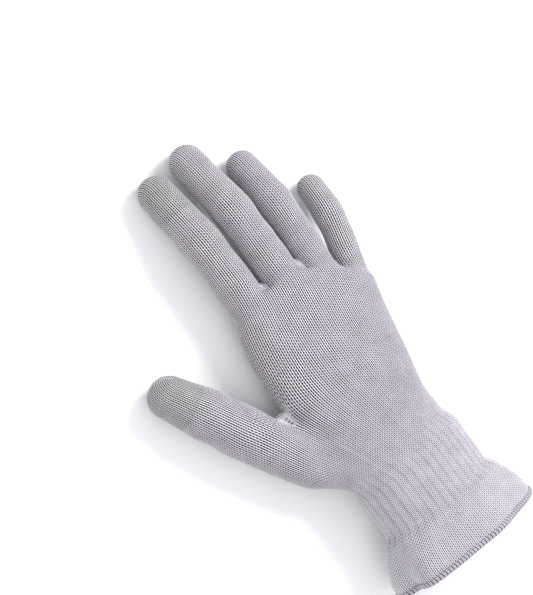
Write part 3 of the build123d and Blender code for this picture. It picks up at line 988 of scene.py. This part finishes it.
def hem_piece():
    """The overlocked edge: a narrow band wrapped by one turn of thread per wale."""
    per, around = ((8, 16))
    columns = WALES * per
    k = np.arange(columns) / per
    rings = np.stack([ruffle_ring(RUFFLE_END + offset, k) for offset in (0.5, 0.0, -0.5)])
    out = numeric_normals(rings)[1]
    down = unit(rings[2] - rings[0])
    centre = rings[1] - 0.5 * FABRIC * out + 1.15 * down
    profile = np.arange(around) / around * 2 * math.pi
    wrap = np.abs(np.sin(math.pi * (k + 0.35 * np.cos(profile)[:, None]))) ** 0.7
    grow = 1 + 0.16 * (wrap - 0.6)
    o = (0.65 * np.cos(profile))[:, None] * grow
    d = (1.35 * np.sin(profile))[:, None] * (1 + 0.06 * (wrap - 0.6))
    grid = centre + o[..., None] * out + d[..., None] * down
    grid[..., 2] = np.maximum(grid[..., 2], 0.1)
    piece = Piece("cuff_hem_knit")
    # darker towards the lower side: partly the dark overlock stitches there, partly painted shade of the
    # underside
    dark = 0.6 * np.clip((d - 0.5) / 1.0, 0, 1)
    ids = piece.add(grid, dark)
    ids = np.concatenate([ids, ids[:1]])[::-1]
    u, v = np.meshgrid(np.arange(columns + 1) / per, np.arange(around, -1, -1) / around)
    shift = 0.35 * np.cos(v * 2 * math.pi)
    knit = np.stack([u + shift, 0.5 + 0 * v], -1)
    piece.tube(ids, knit, np.stack([u / WALES, 0.98 * v + 0.01], -1))
    piece.place(HEM_KNIT, "hem_yarn", ["cuff_hem"], body="hand")


hem_piece()


# -------------------- threads
def thread_piece(name, paths, radius, material, slot, nodes, body, twist=1.1):
    """Short plied threads along paths, with rounded ends."""
    sides = 10
    piece = Piece(name)
    angle = np.arange(sides) / sides * 2 * math.pi
    for path in paths:
        steps = len(path)
        tangent = unit(np.gradient(path, axis=0))
        length = np.concatenate([[0], np.cumsum(np.linalg.norm(np.diff(path, axis=0), axis=1))])
        up = unit(np.cross(tangent, np.cross(path.mean(0) - path[[0, -1]].mean(0) + 1e-6, tangent)))
        side = np.cross(tangent, up)
        share = np.linspace(-1, 1, steps)
        swell = radius * np.sqrt(np.maximum(1 - share ** 8, 0.01))
        ply = 1 + 0.12 * np.cos(2 * (angle[None] - 2 * math.pi * length[:, None] / twist))
        ring = swell[:, None] * ply
        grid = path[:, None] + ring[..., None] * (np.cos(angle)[None, :, None] * up[:, None]
                                                  + np.sin(angle)[None, :, None] * side[:, None])
        ids = piece.add(grid)
        u, v = np.meshgrid(np.arange(sides + 1) / sides, np.arange(steps) / (steps - 1))
        places = np.stack([u, v], -1)
        piece.tube(ids, places, places)
        for row, pole, inward in ((0, path[0] - radius * 0.3 * tangent[0], True),
                                  (-1, path[-1] + radius * 0.3 * tangent[-1], False)):
            tip = piece.add(pole.reshape(1, 3))[0]
            middle = np.broadcast_to(places[row].mean(0), (sides, 2))
            piece.cap(ids[row], tip, places[row], middle, places[row], middle, inward)
    piece.place(material, slot, nodes, body=body)


def tip_seams():
    """The linked seam over each tip, from side to side."""
    for name in DIGITS:
        spine = SPINES[name]
        centre, tangent, across, normal = spine.at(np.array(spine.length))
        roll = TIP_ROLL.get(name, 0.0) + math.pi / 2
        side = math.cos(roll) * normal + math.sin(roll) * across
        turn = np.radians(np.linspace(-80, 80, 61))[:, None]
        path = centre + (spine.r2 + 0.1) * (np.sin(turn) * side + np.cos(turn) * tangent)
        path[:, 2] = np.maximum(path[:, 2], 0.5)
        thread_piece(name + "_tip_thread", [path], 0.3, THREAD, "seam_thread",
                     [name + "_tip_seam"], name + "_upper")


def crotch_stitches():
    """Loops of thread that close the hole at the foot of each web."""
    paths = []
    for first, second in zip(FINGERS, FINGERS[1:]):
        n = DORSAL[first]
        web = PLACE[ZONES[first][0][n:n + SIDE + 1]]
        if second == "little":
            web = PLACE[ZONES["fore"][0][LITTLE_LEFT:LITTLE_LEFT + SIDE + 1]]
        for share in (0.2, 0.5, 0.8):
            at = np.array([np.interp(share * SIDE, np.arange(SIDE + 1), web[:, i]) for i in range(3)])
            across = np.linspace(-1.7, 1.7, 13)[:, None]
            path = settle(at + across * np.array([1.0, 0.25, 0.0]) + np.array([0, 0.5, 0]), 4)
            paths.append(path + 0.15 * unit(gradient(path)[1]))
    thread_piece("crotch_thread", paths, 0.34, SHADED_CROTCH_THREAD, "seam_thread", ["crotch_stitches"], "hand")


tip_seams()
crotch_stitches()
frame["nodes"]["wrist_elastic"].data.materials.clear()
frame["nodes"]["wrist_elastic"].data.materials.append(RUBBER)

# -------------------- floor, light and camera
VIEW_CENTRE = np.array([-3.8, 113.1, 1.3])     # the middle of the view, glove coordinates
VIEW_BACK = np.array([-0.371, 0.139, 0.918])   # from the glove towards the camera
VIEW_RIGHT = np.array([0.714, -0.589, 0.378])
VIEW_DISTANCE, VIEW_LENS = 1800.0, 236.8       # millimetres

for leftover in ("Cube", "Light", "Camera"):
    if leftover in bpy.data.objects:
        bpy.data.objects.remove(bpy.data.objects[leftover])

floor_mesh = bpy.data.meshes.new("floor")
floor_mesh.from_pydata([(-3, -3, 0), (3, -3, 0), (3, 3, 0), (-3, 3, 0)], [], [(0, 1, 2, 3)])
floor = bpy.data.objects.new("floor", floor_mesh)
bpy.context.scene.collection.objects.link(floor)
floor_mesh.materials.append(plain_material("floor", (250, 250, 250), 0.9))


def area_light(name, place, size, power, colour=(1.0, 1.0, 1.0)):
    """A soft light aimed at the hand; place in glove coordinates."""
    light = bpy.data.lights.new(name, "AREA")
    light.shape, light.size, light.energy, light.color = "DISK", size, power, colour
    made = bpy.data.objects.new(name, light)
    made.location = (np.array(place) + BASE) / 1000
    back = unit(np.array(place, float) - np.array([0.0, 80.0, 15.0]))
    side = unit(np.cross([0.0, 0.0, 1.0], back))
    up = np.cross(back, side)
    aim = Matrix([[side[i], up[i], back[i]] for i in range(3)])
    made.rotation_euler = aim.to_euler()
    bpy.context.scene.collection.objects.link(made)


area_light("key", (700, 250, 800), 0.45, 9.0)
area_light("fill", (-500, -300, 900), 0.9, 3.0, (0.96, 0.95, 1.0))
world = bpy.data.worlds.new("studio")
world.use_nodes = True
world.node_tree.nodes["Background"].inputs[0].default_value = (0.97, 0.97, 1.0, 1.0)
world.node_tree.nodes["Background"].inputs[1].default_value = 0.9
bpy.context.scene.world = world
bpy.context.scene.view_settings.view_transform = "Standard"

back = unit(VIEW_BACK)
right = unit(VIEW_RIGHT - (VIEW_RIGHT @ back) * back)
up = np.cross(back, right)
camera_data = bpy.data.cameras.new("camera")
camera_data.lens = VIEW_LENS
camera = bpy.data.objects.new("camera", camera_data)
eye = (VIEW_CENTRE + VIEW_DISTANCE * back + BASE) / 1000
camera.matrix_world = Matrix([[right[i], up[i], back[i], eye[i]] for i in range(3)] + [[0, 0, 0, 1]])
bpy.context.scene.collection.objects.link(camera)
bpy.context.scene.camera = camera
